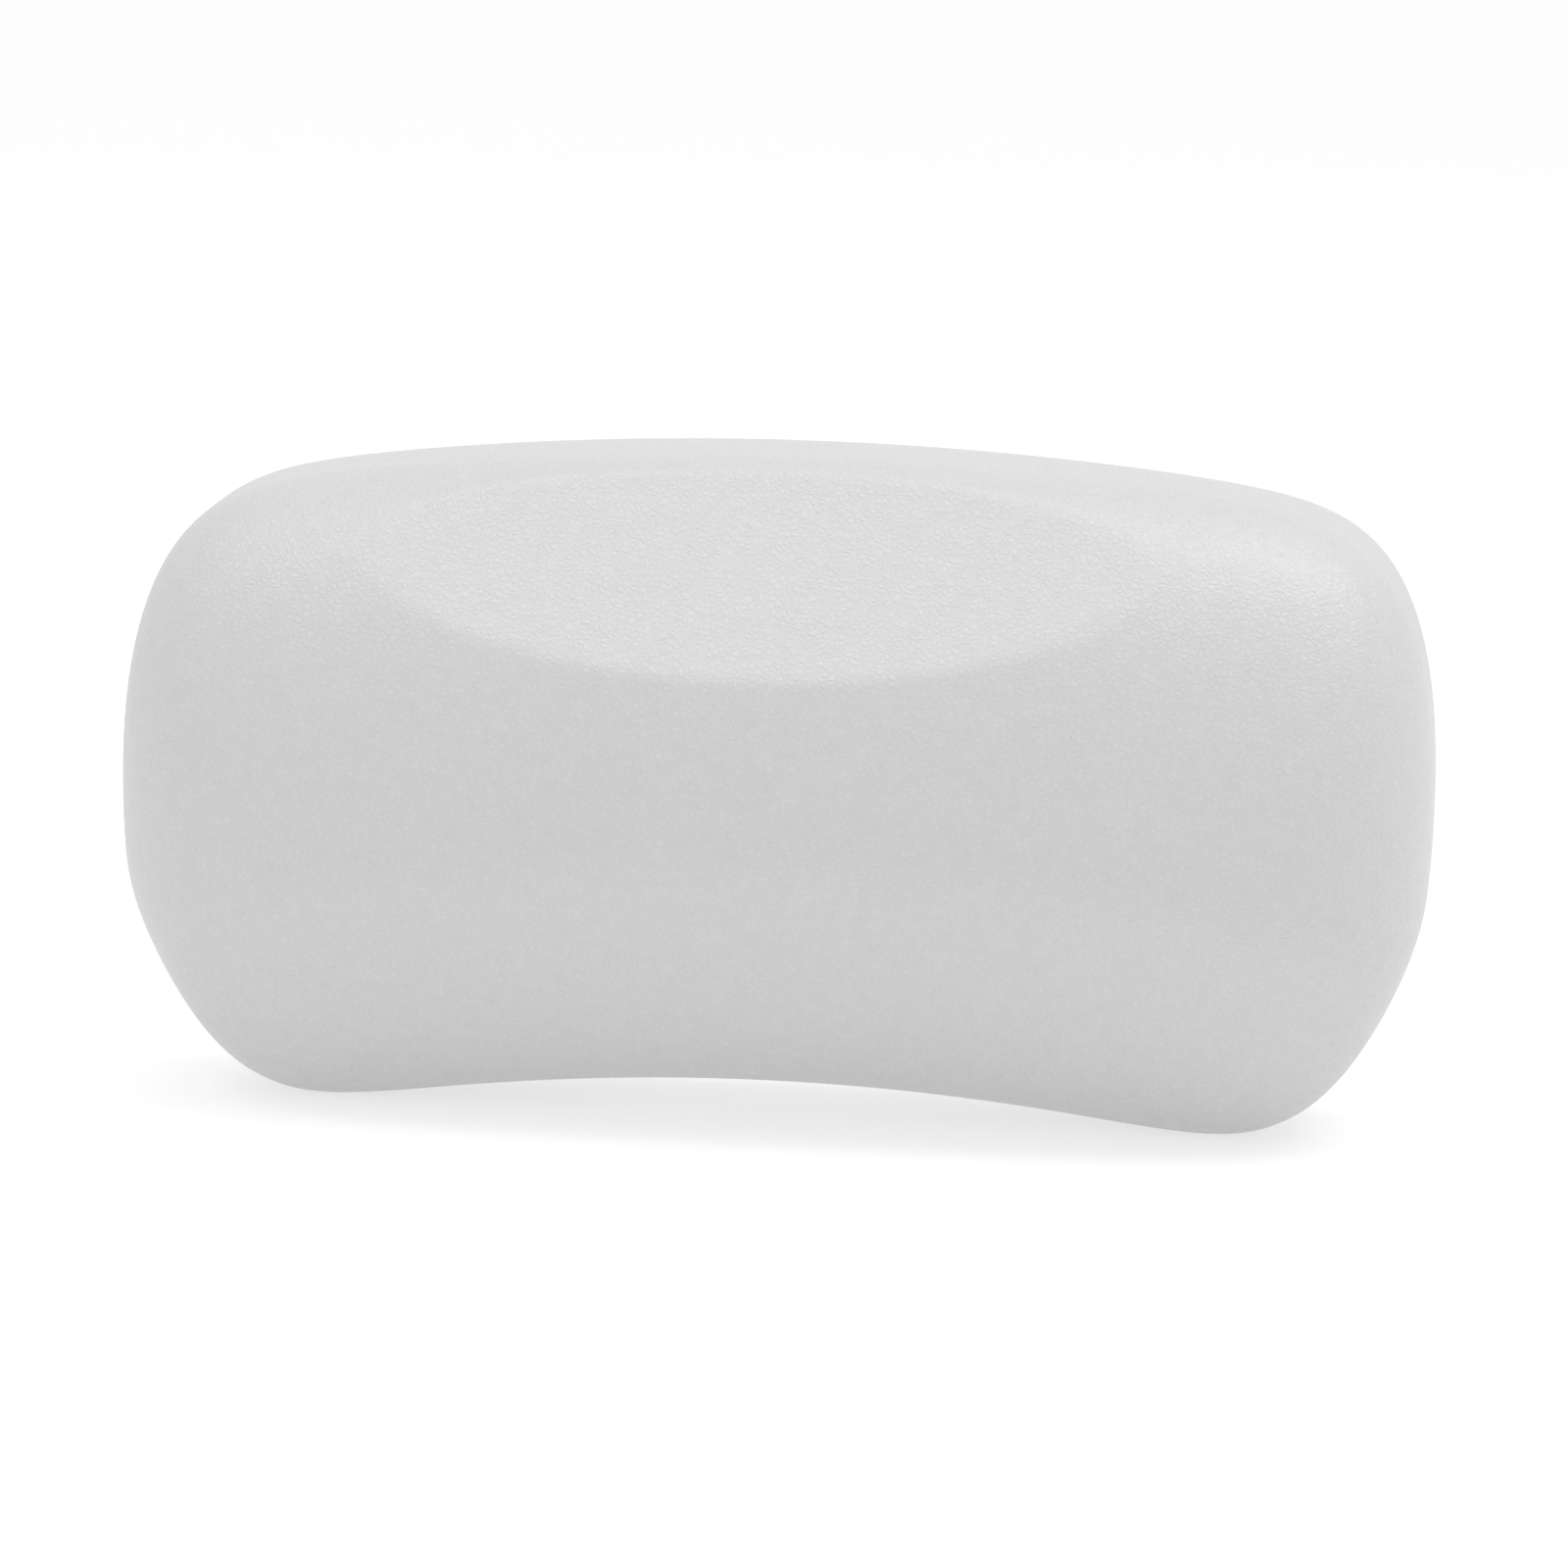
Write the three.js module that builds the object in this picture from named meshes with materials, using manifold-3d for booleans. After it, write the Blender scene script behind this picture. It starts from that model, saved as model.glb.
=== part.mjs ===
// A moulded bath pillow with two suction cups on its back, each on a stud that slides in a keyhole.
// Millimetres, +Z up, the front towards -Y. The origin is midway between the suction cups,
// on the plane of the bath wall that their rims touch.
import * as THREE from "three";
import { mergeVertices } from "three/addons/utils/BufferGeometryUtils.js";
import Module from "manifold-3d";

const wasm = await Module();
wasm.setup();

// Overall sizes of the pillow
const LENGTH = 300;
const MID_HALF_HEIGHT = 72;
const TOP_DROP = 14.15; // how far the top edge has fallen at the ends
const BOTTOM_DROP = 20.9; // how far the bottom edge has fallen at the ends
const FRONT_DEPTH = 50.6; // from the widest outline to the belly, at mid length
const FRONT_DEPTH_LOSS = 9; // how much less that is at the ends
const BACK_DEPTH = 32; // from the widest outline to the back
const BACK_TRIM = 0.8; // what the flat back face takes off that
const LEAN_SHARE = 0.074; // how far a section climbs for each millimetre towards the back

// The ends bulge: they reach furthest at one level, and are drawn in above and below it
const END_LEVEL_SHARE = 0.535; // of the half height, from the middle up to that level
const END_DRAW_SHARE = 0.021; // of the length, drawn in a half height away from that level
const DRAW_REACH_SHARE = 2; // past this share of the squared half height the ends stay as they are

// Powers that round the form: above and below its middle, and in front of and behind its widest outline
const END_POWER = { above: 12.96, below: 10.14 };
const FACE_POWER = { above: 2.36, below: 1.08 };
const RIM_POWER = { front: 0.802, back: 3.2 };
const DEPTH_POWER = { front: 2.24, back: 7 };
const MIDDLE_SHARPNESS = 3; // how fast the powers change over at the middle
const MIDDLE_SOFT_SHARE = 0.06; // rounds the powers' start at the middle
const VALUE_POWER = 1 / 2.2; // evens out the form's value, so that it grows like a distance
const VALUE_DEPTH = 45; // turns the form's value into millimetres
const REACH_SHARE = 1.6; // past this share of the squared half length the drops stay as they are

// The hollow for the neck: a slope that faces up and forwards, sunk towards mid length
const HOLLOW_TILT = THREE.MathUtils.degToRad(38.6);
const HOLLOW_REACH = 52.8; // from the form's middle to the slope, at mid length
const HOLLOW_RADIUS = 1730; // of the slope, along the pillow
const HOLLOW_SOFTNESS = 2.2; // width over which its rim is rounded

// Skins, running gap and what a cut runs past its work
const SKIN = 2;
const CLEARANCE = 0.3;
const OVERRUN = 5;
const SEAM_SETBACK = 9; // from the back face to the seam between the two skins
const PROBE = 0.05; // step for the form's slope

// Carrier board, moulded in behind the back skin
const BOARD_THICKNESS = 4;
const BOARD_MARGIN = 6.7; // from the caps' flanges down to the board's lower edge
const BOARD_CORNER = 16;
const BOARD_END_INSET = 38; // from each end of the pillow
const BOARD_TOP_INSET = 21; // from the top edge at mid length
const FOAM_KEY_RADIUS = 7; // holes that lock the board to the foam
const FOAM_KEY_SPACING = 28;
const FOAM_KEYS = 3;
const FOAM_KEY_DROP = 26; // from the cups' level to the holes' level

// Suction cups
const CUP_END_INSET = 29; // from the board's end to the cup's axis
const CUP_TOP_INSET = 26; // from the board's top edge to the cup's axis
const CUP_RADIUS = 30;
const CUP_RIM_WIDTH = 2.5;
const CUP_LIP = 1.1;
const BELL_SHOULDER_SHARE = 0.8; // how far out the bell keeps its height
const CUP_HOLLOW = 6.8;
const CUP_WEB = 1.7; // from the hollow to the stud's socket
const NECK_RADIUS = 8;
const NECK_FILLET = 1.5;
const THROAT_LIP = 2.2;
const TAB_WIDTH = 12;
const TAB_REACH = 9; // past the cup's rim
const TAB_THICKNESS = 1.4;

// Studs
const STUD_HEAD_RADIUS = 5.2;
const STUD_HEAD_THICKNESS = 2.4;
const STUD_NECK_RADIUS = 3.2;
const STUD_COLLAR_RADIUS = 6.5;
const STUD_COLLAR_THICKNESS = 1.6;
const STUD_SHAFT_RADIUS = 3.6;
const STUD_FOOT_RADIUS = 7;
const STUD_FOOT_THICKNESS = 2.5;
const STUD_CHAMFER = 0.5;
const END_PLAY = 0.4; // between the stud's faces and what they turn and slide against

// Keyholes and the caps that keep the foam out of them
const TRAVEL = 20; // from the seat of the keyhole down to its entry
const ENTRY_CLEARANCE = 0.8;
const CAP_WALL = 1.5;
const CAP_PLAY = 0.8; // around and in front of the stud's foot
const FLANGE_THICKNESS = 2;
const FLANGE_MARGIN = 8; // from the cap's wall to the flange's edge
const FLANGE_CORNER = 4;

// Self-tapping screws that hold the caps to the board
const SCREW_RADIUS = 1.2;
const SCREW_HEAD_RADIUS = 2.5;
const SCREW_HEAD_THICKNESS = 1.6;
const SCREW_TIP = 1; // length of the point
const SCREW_CROWN_SHARE = 0.7; // of the head's radius that is flat
const SCREW_SETBACK = 0.6; // from the point to the board's rear face
const SCREW_EDGE = 5; // from the screw's axis to the flange's edge
const SLOT_WIDTH = 0.7;
const SLOT_DEPTH = 0.8;
const SLOT_SPAN = 3;

// Fineness of the round stretches and of the form
const LATHE_STEPS = 40;
const SMALL_LATHE_STEPS = 20;
const CURVE_STEPS = 6;
const ARC_STEPS = 8;
const AROUND = 40;
const FRONT_RINGS = 11; // from the front pole to the widest outline
const BACK_RINGS = 7; // from there to the back face
const HALVINGS = 40; // of the stretch of a ray that the form's surface crosses
const CORNER_CROWDING = 0.4; // draws the points together where the outline turns
const EDGE_CROWDING = 0.3; // draws the rings together where the front turns into the sides
const RAY_END_SHARE = 1.6;

// Places that follow from the sizes
const HALF_LENGTH = LENGTH / 2;
const BOARD_LENGTH = LENGTH - 2 * BOARD_END_INSET;
const CUP_X = BOARD_LENGTH / 2 - CUP_END_INSET;
const CUP_RISE = MID_HALF_HEIGHT - BOARD_TOP_INSET - CUP_TOP_INSET; // above the form's middle
const KEYHOLE_HALF_WIDTH = STUD_SHAFT_RADIUS + CLEARANCE;
const ENTRY_RADIUS = STUD_FOOT_RADIUS + ENTRY_CLEARANCE;
const OPENING_RADIUS = Math.max(ENTRY_RADIUS, NECK_RADIUS + END_PLAY);
const SOCKET_FLOOR = -CUP_HOLLOW - CUP_WEB;
const SOCKET_MOUTH = SOCKET_FLOOR - STUD_HEAD_THICKNESS - 2 * END_PLAY;
const NECK_END = SOCKET_MOUTH - THROAT_LIP;
const COLLAR_REAR = NECK_END - END_PLAY;
const COLLAR_FRONT = COLLAR_REAR - STUD_COLLAR_THICKNESS;
const BOARD_REAR = COLLAR_FRONT - END_PLAY;
const BOARD_FRONT = BOARD_REAR - BOARD_THICKNESS;
const BACK_Y = BOARD_REAR + CLEARANCE + SKIN;
const SEAM_Y = BACK_Y - SEAM_SETBACK;
const BACK_FLAT = BACK_DEPTH - BACK_TRIM; // from the widest outline to the back face
const FORM_MIDDLE = new THREE.Vector3(0, BACK_Y - BACK_FLAT, -CUP_RISE);
const FOOT_REAR = BOARD_FRONT - END_PLAY;
const FOOT_FRONT = FOOT_REAR - STUD_FOOT_THICKNESS;
const FLANGE_REAR = BOARD_FRONT - CLEARANCE;
const FLANGE_FRONT = FLANGE_REAR - FLANGE_THICKNESS;
const CAP_FLOOR = FOOT_FRONT - CAP_PLAY;
const CAP_FRONT = CAP_FLOOR - CAP_WALL;
const CAP_INNER_RADIUS = STUD_FOOT_RADIUS + CAP_PLAY;
const CAP_OUTER_RADIUS = CAP_INNER_RADIUS + CAP_WALL;
const FLANGE_HALF_WIDTH = CAP_OUTER_RADIUS + FLANGE_MARGIN;
const FLANGE_HEIGHT = TRAVEL + 2 * FLANGE_HALF_WIDTH;
const BOARD_HEIGHT = CUP_TOP_INSET + (TRAVEL + FLANGE_HEIGHT) / 2 + BOARD_MARGIN;
const BOARD_MIDDLE_Z = CUP_TOP_INSET - BOARD_HEIGHT / 2;
const SCREW_X = FLANGE_HALF_WIDTH - SCREW_EDGE;
const SCREW_Z = FLANGE_HEIGHT / 2 - SCREW_EDGE;
const SCREW_HEAD_REAR = FLANGE_FRONT - CLEARANCE;
const SCREW_POINT = BOARD_REAR - SCREW_SETBACK;

const SIDES = [
  { name: "left", x: -CUP_X },
  { name: "right", x: CUP_X },
];

// Materials
const materials = {
  grainedSkin: finish(0xdcdddd, 0.55, 0),
  smoothSkin: finish(0xd2d3d4, 0.6, 0),
  foam: finish(0xf0ead8, 0.95, 0),
  board: finish(0xe6e6e2, 0.6, 0),
  cap: finish(0xc9ccce, 0.6, 0),
  stud: finish(0xf4f4f1, 0.3, 0),
  cup: finish(0xc8d4d8, 0.15, 0),
  steel: finish(0xb8babc, 0.35, 1),
};

function finish(color, roughness, metalness) {
  return new THREE.MeshStandardMaterial({ color, roughness, metalness });
}

// Solids: a closed geometry becomes a solid for joining and cutting, and goes back to a mesh
function solidOf(geometry) {
  const bare = geometry.clone();
  bare.deleteAttribute("normal");
  bare.deleteAttribute("uv");
  const merged = mergeVertices(bare);
  return new wasm.Manifold(
    new wasm.Mesh({
      numProp: 3,
      vertProperties: merged.attributes.position.array,
      triVerts: new Uint32Array(merged.index.array),
    }),
  );
}

function meshOf(name, solid, material) {
  const made = solid.getMesh();
  const geometry = new THREE.BufferGeometry();
  geometry.setAttribute("position", new THREE.BufferAttribute(made.vertProperties, 3));
  geometry.setIndex(new THREE.BufferAttribute(made.triVerts, 1));
  geometry.computeVertexNormals();
  return namedMesh(name, geometry, material);
}

function namedMesh(name, geometry, material) {
  const mesh = new THREE.Mesh(geometry, material);
  mesh.name = name;
  return mesh;
}

// A flat outline in x and z, made thick towards the front from its rear face
function plate(outline, rear, front) {
  const made = new THREE.ExtrudeGeometry(outline, {
    depth: rear - front,
    bevelEnabled: false,
    curveSegments: ARC_STEPS,
  });
  return made.rotateX(Math.PI / 2).translate(0, rear, 0);
}

function roundedRectangle(width, height, corner, middleZ) {
  const x = width / 2 - corner;
  const top = middleZ + height / 2 - corner;
  const bottom = middleZ - height / 2 + corner;
  const shape = new THREE.Shape();
  shape.absarc(x, bottom, corner, -Math.PI / 2, 0, false);
  shape.absarc(x, top, corner, 0, Math.PI / 2, false);
  shape.absarc(-x, top, corner, Math.PI / 2, Math.PI, false);
  shape.absarc(-x, bottom, corner, Math.PI, 1.5 * Math.PI, false);
  return shape;
}

// A slot with round ends, from the level of the cup's axis down by its length
function slotOutline(radius, length) {
  const shape = new THREE.Shape();
  shape.absarc(0, 0, radius, 0, Math.PI, false);
  shape.absarc(0, -length, radius, Math.PI, 2 * Math.PI, false);
  return shape;
}

function circleOutline(radius, x, z) {
  return new THREE.Shape().absarc(x, z, radius, 0, 2 * Math.PI, false);
}

function latheOf(points, steps) {
  const profile = points.map(([radius, y]) => new THREE.Vector2(radius, y));
  return new THREE.LatheGeometry(profile, steps);
}

function prism(outline, rear, front, x = 0) {
  return solidOf(plate(outline, rear, front).translate(x, 0, 0));
}

// The pillow's form. Its value at a point is below zero inside and above zero outside
function formValue(x, y, z) {
  const body = bodyValue(x, y, z);
  const hollow = hollowValue(x, y, z);
  const mix = THREE.MathUtils.clamp(0.5 + (0.5 * (body - hollow)) / HOLLOW_SOFTNESS, 0, 1);
  return hollow * (1 - mix) + body * mix + HOLLOW_SOFTNESS * mix * (1 - mix);
}

function bodyValue(x, y, z) {
  const across = Math.abs(x) / HALF_LENGTH;
  const spread = Math.min(across ** 2, REACH_SHARE);
  const top = MID_HALF_HEIGHT - TOP_DROP * spread;
  const bottom = -MID_HALF_HEIGHT - BOTTOM_DROP * spread;
  const up = (z - LEAN_SHARE * y - (top + bottom) / 2) / ((top - bottom) / 2);
  const below = 0.5 - 0.5 * Math.tanh(MIDDLE_SHARPNESS * up);
  const endPower = END_POWER.above + (END_POWER.below - END_POWER.above) * below;
  const facePower = FACE_POWER.above + (FACE_POWER.below - FACE_POWER.above) * below;
  const outline = (across / (1 - endDraw(up))) ** endPower + softSize(up) ** facePower;
  const frontDepth = FRONT_DEPTH - FRONT_DEPTH_LOSS * spread;
  const grown =
    y < 0
      ? outline ** RIM_POWER.front + (-y / frontDepth) ** DEPTH_POWER.front
      : outline ** RIM_POWER.back + (y / BACK_DEPTH) ** DEPTH_POWER.back;
  return (grown ** VALUE_POWER - 1) * VALUE_DEPTH;
}

// The share of the length by which an end is drawn in at one level. It is none at the form's middle
function endDraw(up) {
  const away = Math.min((up - END_LEVEL_SHARE) ** 2, DRAW_REACH_SHARE);
  return END_DRAW_SHARE * (away - END_LEVEL_SHARE ** 2);
}

// The size of a share between -1 and 1, rounded at 0
function softSize(share) {
  const full = Math.hypot(1, MIDDLE_SOFT_SHARE) - MIDDLE_SOFT_SHARE;
  return (Math.hypot(share, MIDDLE_SOFT_SHARE) - MIDDLE_SOFT_SHARE) / full;
}

function hollowValue(x, y, z) {
  const out = -y * Math.cos(HOLLOW_TILT) + z * Math.sin(HOLLOW_TILT);
  return out - HOLLOW_REACH - x ** 2 / (2 * HOLLOW_RADIUS);
}

function formSlope(point) {
  const { x, y, z } = point;
  return new THREE.Vector3(
    formValue(x + PROBE, y, z) - formValue(x - PROBE, y, z),
    formValue(x, y + PROBE, z) - formValue(x, y - PROBE, z),
    formValue(x, y, z + PROBE) - formValue(x, y, z - PROBE),
  ).normalize();
}

// The point of the form along a ray that starts on the form's axis, moved inwards by the inset
function formPoint(startY, ray, inset) {
  const start = new THREE.Vector3(0, startY, 0);
  const point = new THREE.Vector3();
  let near = 0;
  let far = RAY_END_SHARE;
  for (let halving = 0; halving < HALVINGS; halving++) {
    const half = (near + far) / 2;
    point.copy(start).addScaledVector(ray, half);
    if (formValue(point.x, point.y, point.z) < 0) near = half;
    else far = half;
  }
  return point.addScaledVector(formSlope(point), -inset);
}

// The ray at one step around the form. A swing of 0 looks to the front, and a quarter turn to the side
function formRay(swing, step) {
  const evenTurn = (2 * Math.PI * step) / AROUND;
  const turn = evenTurn + (CORNER_CROWDING / 4) * Math.sin(4 * evenTurn);
  return new THREE.Vector3(
    HALF_LENGTH * Math.sin(swing) * Math.cos(turn),
    -FRONT_DEPTH * Math.cos(swing),
    MID_HALF_HEIGHT * Math.sin(swing) * Math.sin(turn),
  );
}

// A ring of the rounded front, and a ring of the sides and the back at one depth
function frontRing(ring, inset) {
  const evenSwing = ((Math.PI / 2) * ring) / FRONT_RINGS;
  const swing = evenSwing + (EDGE_CROWDING / 2) * Math.sin(2 * evenSwing);
  return ringOf((step) => formPoint(0, formRay(swing, step), inset));
}

function depthRing(ring, inset) {
  const depth = BACK_FLAT * Math.sin(((Math.PI / 2) * ring) / BACK_RINGS);
  return ringOf((step) => {
    const point = formPoint(depth, formRay(Math.PI / 2, step), inset);
    if (ring === BACK_RINGS) point.y = BACK_FLAT - inset;
    return point;
  });
}

function ringOf(pointAt) {
  return Array.from({ length: AROUND }, (_, step) => pointAt(step));
}

// The form as a closed surface: its front pole, its rings and the middle of its flat back
function formGeometry(inset) {
  const rings = [];
  for (let ring = 1; ring <= FRONT_RINGS; ring++) rings.push(frontRing(ring, inset));
  for (let ring = 1; ring <= BACK_RINGS; ring++) rings.push(depthRing(ring, inset));
  const frontPole = formPoint(0, formRay(0, 0), inset);
  const backPole = new THREE.Vector3(0, BACK_FLAT - inset, 0);
  const points = [frontPole, ...rings.flat(), backPole];
  const last = points.length - 1;
  const at = (ring, step) => 1 + ring * AROUND + (step % AROUND);
  const faces = [];
  for (let step = 0; step < AROUND; step++) {
    faces.push(0, at(0, step), at(0, step + 1));
    for (let ring = 0; ring < rings.length - 1; ring++) {
      faces.push(at(ring, step), at(ring + 1, step), at(ring + 1, step + 1));
      faces.push(at(ring, step), at(ring + 1, step + 1), at(ring, step + 1));
    }
    faces.push(last, at(rings.length - 1, step + 1), at(rings.length - 1, step));
  }
  const geometry = new THREE.BufferGeometry().setFromPoints(points);
  return geometry.setIndex(faces).translate(FORM_MIDDLE.x, FORM_MIDDLE.y, FORM_MIDDLE.z);
}

// The space between two planes across y, wider and higher than the pillow
function slab(front, back) {
  const width = LENGTH + 2 * OVERRUN;
  const height = 2 * (MID_HALF_HEIGHT + BOTTOM_DROP + FRONT_DEPTH);
  const box = new THREE.BoxGeometry(width, back - front, height);
  return solidOf(box.translate(0, (front + back) / 2, FORM_MIDDLE.z));
}

// Skins: a shell all round the form, parted by the seam
function shell() {
  return solidOf(formGeometry(0)).subtract(solidOf(formGeometry(SKIN)));
}

function frontCover() {
  const front = FORM_MIDDLE.y - FRONT_DEPTH - OVERRUN;
  return meshOf("front_cover", shell().intersect(slab(front, SEAM_Y)), materials.grainedSkin);
}

function backCover() {
  let skin = shell().intersect(slab(SEAM_Y + CLEARANCE, BACK_Y + OVERRUN));
  for (const side of SIDES) {
    const opening = slotOutline(OPENING_RADIUS, TRAVEL);
    skin = skin.subtract(prism(opening, BACK_Y + OVERRUN, BACK_Y - SKIN - OVERRUN, side.x));
  }
  return meshOf("back_cover", skin, materials.smoothSkin);
}

// Foam, with a pocket open at the back for the board and pockets for the caps and their screws
function foamCore() {
  const rear = BACK_Y - SKIN - CLEARANCE;
  let foam = solidOf(formGeometry(SKIN + CLEARANCE));
  const boardPocket = roundedRectangle(
    BOARD_LENGTH + 2 * CLEARANCE,
    BOARD_HEIGHT + 2 * CLEARANCE,
    BOARD_CORNER + CLEARANCE,
    BOARD_MIDDLE_Z,
  );
  foam = foam.subtract(prism(boardPocket, rear + OVERRUN, BOARD_FRONT - CLEARANCE));
  for (const side of SIDES) {
    const flange = flangeOutline(CLEARANCE);
    const dome = slotOutline(CAP_OUTER_RADIUS + CLEARANCE, TRAVEL);
    foam = foam.subtract(prism(flange, BOARD_FRONT, FLANGE_FRONT - CLEARANCE, side.x));
    foam = foam.subtract(prism(dome, BOARD_FRONT, CAP_FRONT - CLEARANCE, side.x));
    for (const place of screwPlaces()) {
      const hole = circleOutline(SCREW_HEAD_RADIUS + CLEARANCE, place.x, place.z);
      const floor = SCREW_HEAD_REAR - SCREW_HEAD_THICKNESS - CLEARANCE;
      foam = foam.subtract(prism(hole, BOARD_FRONT, floor, side.x));
    }
  }
  return meshOf("foam_core", foam, materials.foam);
}

// Carrier board with its two keyholes, screw holes and foam keys
function carrierBoard() {
  const outline = roundedRectangle(BOARD_LENGTH, BOARD_HEIGHT, BOARD_CORNER, BOARD_MIDDLE_Z);
  const rear = BOARD_REAR + OVERRUN;
  const front = BOARD_FRONT - OVERRUN;
  let board = prism(outline, BOARD_REAR, BOARD_FRONT);
  for (const side of SIDES) {
    board = board.subtract(prism(slotOutline(KEYHOLE_HALF_WIDTH, TRAVEL), rear, front, side.x));
    board = board.subtract(prism(circleOutline(ENTRY_RADIUS, 0, -TRAVEL), rear, front, side.x));
    for (const place of screwPlaces()) {
      const hole = circleOutline(SCREW_RADIUS + CLEARANCE, place.x, place.z);
      board = board.subtract(prism(hole, rear, front, side.x));
    }
  }
  for (let key = 0; key < FOAM_KEYS; key++) {
    const x = (key - (FOAM_KEYS - 1) / 2) * FOAM_KEY_SPACING;
    board = board.subtract(prism(circleOutline(FOAM_KEY_RADIUS, x, -FOAM_KEY_DROP), rear, front));
  }
  return meshOf("carrier_board", board, materials.board);
}

// Pocket cap: a stadium-shaped dome over the keyhole, with a flange against the board
function flangeOutline(growth) {
  return roundedRectangle(
    2 * (FLANGE_HALF_WIDTH + growth),
    FLANGE_HEIGHT + 2 * growth,
    FLANGE_CORNER + growth,
    -TRAVEL / 2,
  );
}

function screwPlaces() {
  const corners = [
    [-1, 1],
    [1, 1],
    [-1, -1],
    [1, -1],
  ];
  return corners.map(([across, up]) => ({ x: across * SCREW_X, z: up * SCREW_Z - TRAVEL / 2 }));
}

function pocketCap(side) {
  let cap = prism(flangeOutline(0), FLANGE_REAR, FLANGE_FRONT);
  cap = cap.add(prism(slotOutline(CAP_OUTER_RADIUS, TRAVEL), FLANGE_REAR, CAP_FRONT));
  cap = cap.subtract(prism(slotOutline(CAP_INNER_RADIUS, TRAVEL), FLANGE_REAR + OVERRUN, CAP_FLOOR));
  for (const place of screwPlaces()) {
    const hole = circleOutline(SCREW_RADIUS + CLEARANCE, place.x, place.z);
    cap = cap.subtract(prism(hole, FLANGE_REAR + OVERRUN, FLANGE_FRONT - OVERRUN));
  }
  return meshOf(`pocket_cap_${side.name}`, cap, materials.cap);
}

// Screw along y, its head to the front and a straight slot across the head
function screw(name, place) {
  const headFront = SCREW_HEAD_REAR - SCREW_HEAD_THICKNESS;
  const shank = latheOf(
    [
      [0, headFront],
      [SCREW_HEAD_RADIUS * SCREW_CROWN_SHARE, headFront],
      [SCREW_HEAD_RADIUS, headFront + SCREW_HEAD_THICKNESS / 2],
      [SCREW_HEAD_RADIUS, SCREW_HEAD_REAR],
      [SCREW_RADIUS, SCREW_HEAD_REAR],
      [SCREW_RADIUS, SCREW_POINT - SCREW_TIP],
      [0, SCREW_POINT],
    ],
    SMALL_LATHE_STEPS,
  );
  const slot = new THREE.BoxGeometry(SLOT_SPAN, 2 * SLOT_DEPTH, SLOT_WIDTH).translate(0, headFront, 0);
  const mesh = meshOf(name, solidOf(shank).subtract(solidOf(slot)), materials.steel);
  mesh.position.set(place.x, 0, place.z);
  return mesh;
}

// Stud: a head held in the cup's socket, a collar behind the board and a foot in front of it
function stud(side) {
  const headRear = SOCKET_FLOOR - END_PLAY;
  const headFront = headRear - STUD_HEAD_THICKNESS;
  const profile = [
    [0, FOOT_FRONT],
    [STUD_FOOT_RADIUS - STUD_CHAMFER, FOOT_FRONT],
    [STUD_FOOT_RADIUS, FOOT_FRONT + STUD_CHAMFER],
    [STUD_FOOT_RADIUS, FOOT_REAR],
    [STUD_SHAFT_RADIUS, FOOT_REAR],
    [STUD_SHAFT_RADIUS, COLLAR_FRONT],
    [STUD_COLLAR_RADIUS, COLLAR_FRONT],
    [STUD_COLLAR_RADIUS, COLLAR_REAR],
    [STUD_NECK_RADIUS, COLLAR_REAR],
    [STUD_NECK_RADIUS, headFront],
    [STUD_HEAD_RADIUS, headFront],
    [STUD_HEAD_RADIUS, headRear - STUD_CHAMFER],
    [STUD_HEAD_RADIUS - STUD_CHAMFER, headRear],
    [0, headRear],
  ];
  return namedMesh(`stud_${side.name}`, latheOf(profile, SMALL_LATHE_STEPS), materials.stud);
}

// Suction cup: a bell with a flat rim, a neck with the stud's socket, and a tab to lift the rim by
function suctionCup(side) {
  const throat = STUD_NECK_RADIUS + END_PLAY;
  const socket = STUD_HEAD_RADIUS + END_PLAY;
  const innerRim = CUP_RADIUS - CUP_RIM_WIDTH;
  const hollow = new THREE.QuadraticBezierCurve(
    new THREE.Vector2(innerRim, 0),
    new THREE.Vector2(innerRim * BELL_SHOULDER_SHARE, -CUP_HOLLOW),
    new THREE.Vector2(0, -CUP_HOLLOW),
  );
  const bellTop = NECK_END + THROAT_LIP;
  const bell = new THREE.QuadraticBezierCurve(
    new THREE.Vector2(NECK_RADIUS + NECK_FILLET, bellTop),
    new THREE.Vector2(innerRim * BELL_SHOULDER_SHARE, bellTop),
    new THREE.Vector2(CUP_RADIUS, -CUP_LIP),
  );
  const profile = [
    [0, SOCKET_FLOOR],
    [socket, SOCKET_FLOOR],
    [socket, SOCKET_MOUTH],
    [throat, SOCKET_MOUTH],
    [throat, NECK_END],
    [NECK_RADIUS, NECK_END],
    [NECK_RADIUS, bellTop - NECK_FILLET],
    ...curvePoints(bell),
    [CUP_RADIUS, 0],
    ...curvePoints(hollow),
  ];
  const round = solidOf(latheOf(profile, LATHE_STEPS));
  return meshOf(`suction_cup_${side.name}`, round.add(solidOf(tab())), materials.cup);
}

function curvePoints(curve) {
  return curve.getPoints(CURVE_STEPS).map((point) => [point.x, point.y]);
}

function tab() {
  const half = TAB_WIDTH / 2;
  const end = CUP_RADIUS + TAB_REACH - half;
  const start = CUP_RADIUS - CUP_RIM_WIDTH / 2;
  const outline = new THREE.Shape();
  outline.moveTo(half, -start);
  outline.lineTo(-half, -start);
  outline.absarc(0, -end, half, Math.PI, 2 * Math.PI, false);
  return plate(outline, -CLEARANCE, -CLEARANCE - TAB_THICKNESS);
}

// Assembly
function keyholeSet(side) {
  const set = new THREE.Group();
  set.position.x = side.x;
  set.add(pocketCap(side), stud(side), suctionCup(side));
  screwPlaces().forEach((place, index) => {
    set.add(screw(`cap_screw_${side.name}_${index + 1}`, place));
  });
  return set;
}

const pillow = new THREE.Group();
pillow.add(frontCover(), backCover(), foamCore(), carrierBoard());
SIDES.forEach((side) => pillow.add(keyholeSet(side)));

export default pillow;
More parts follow.
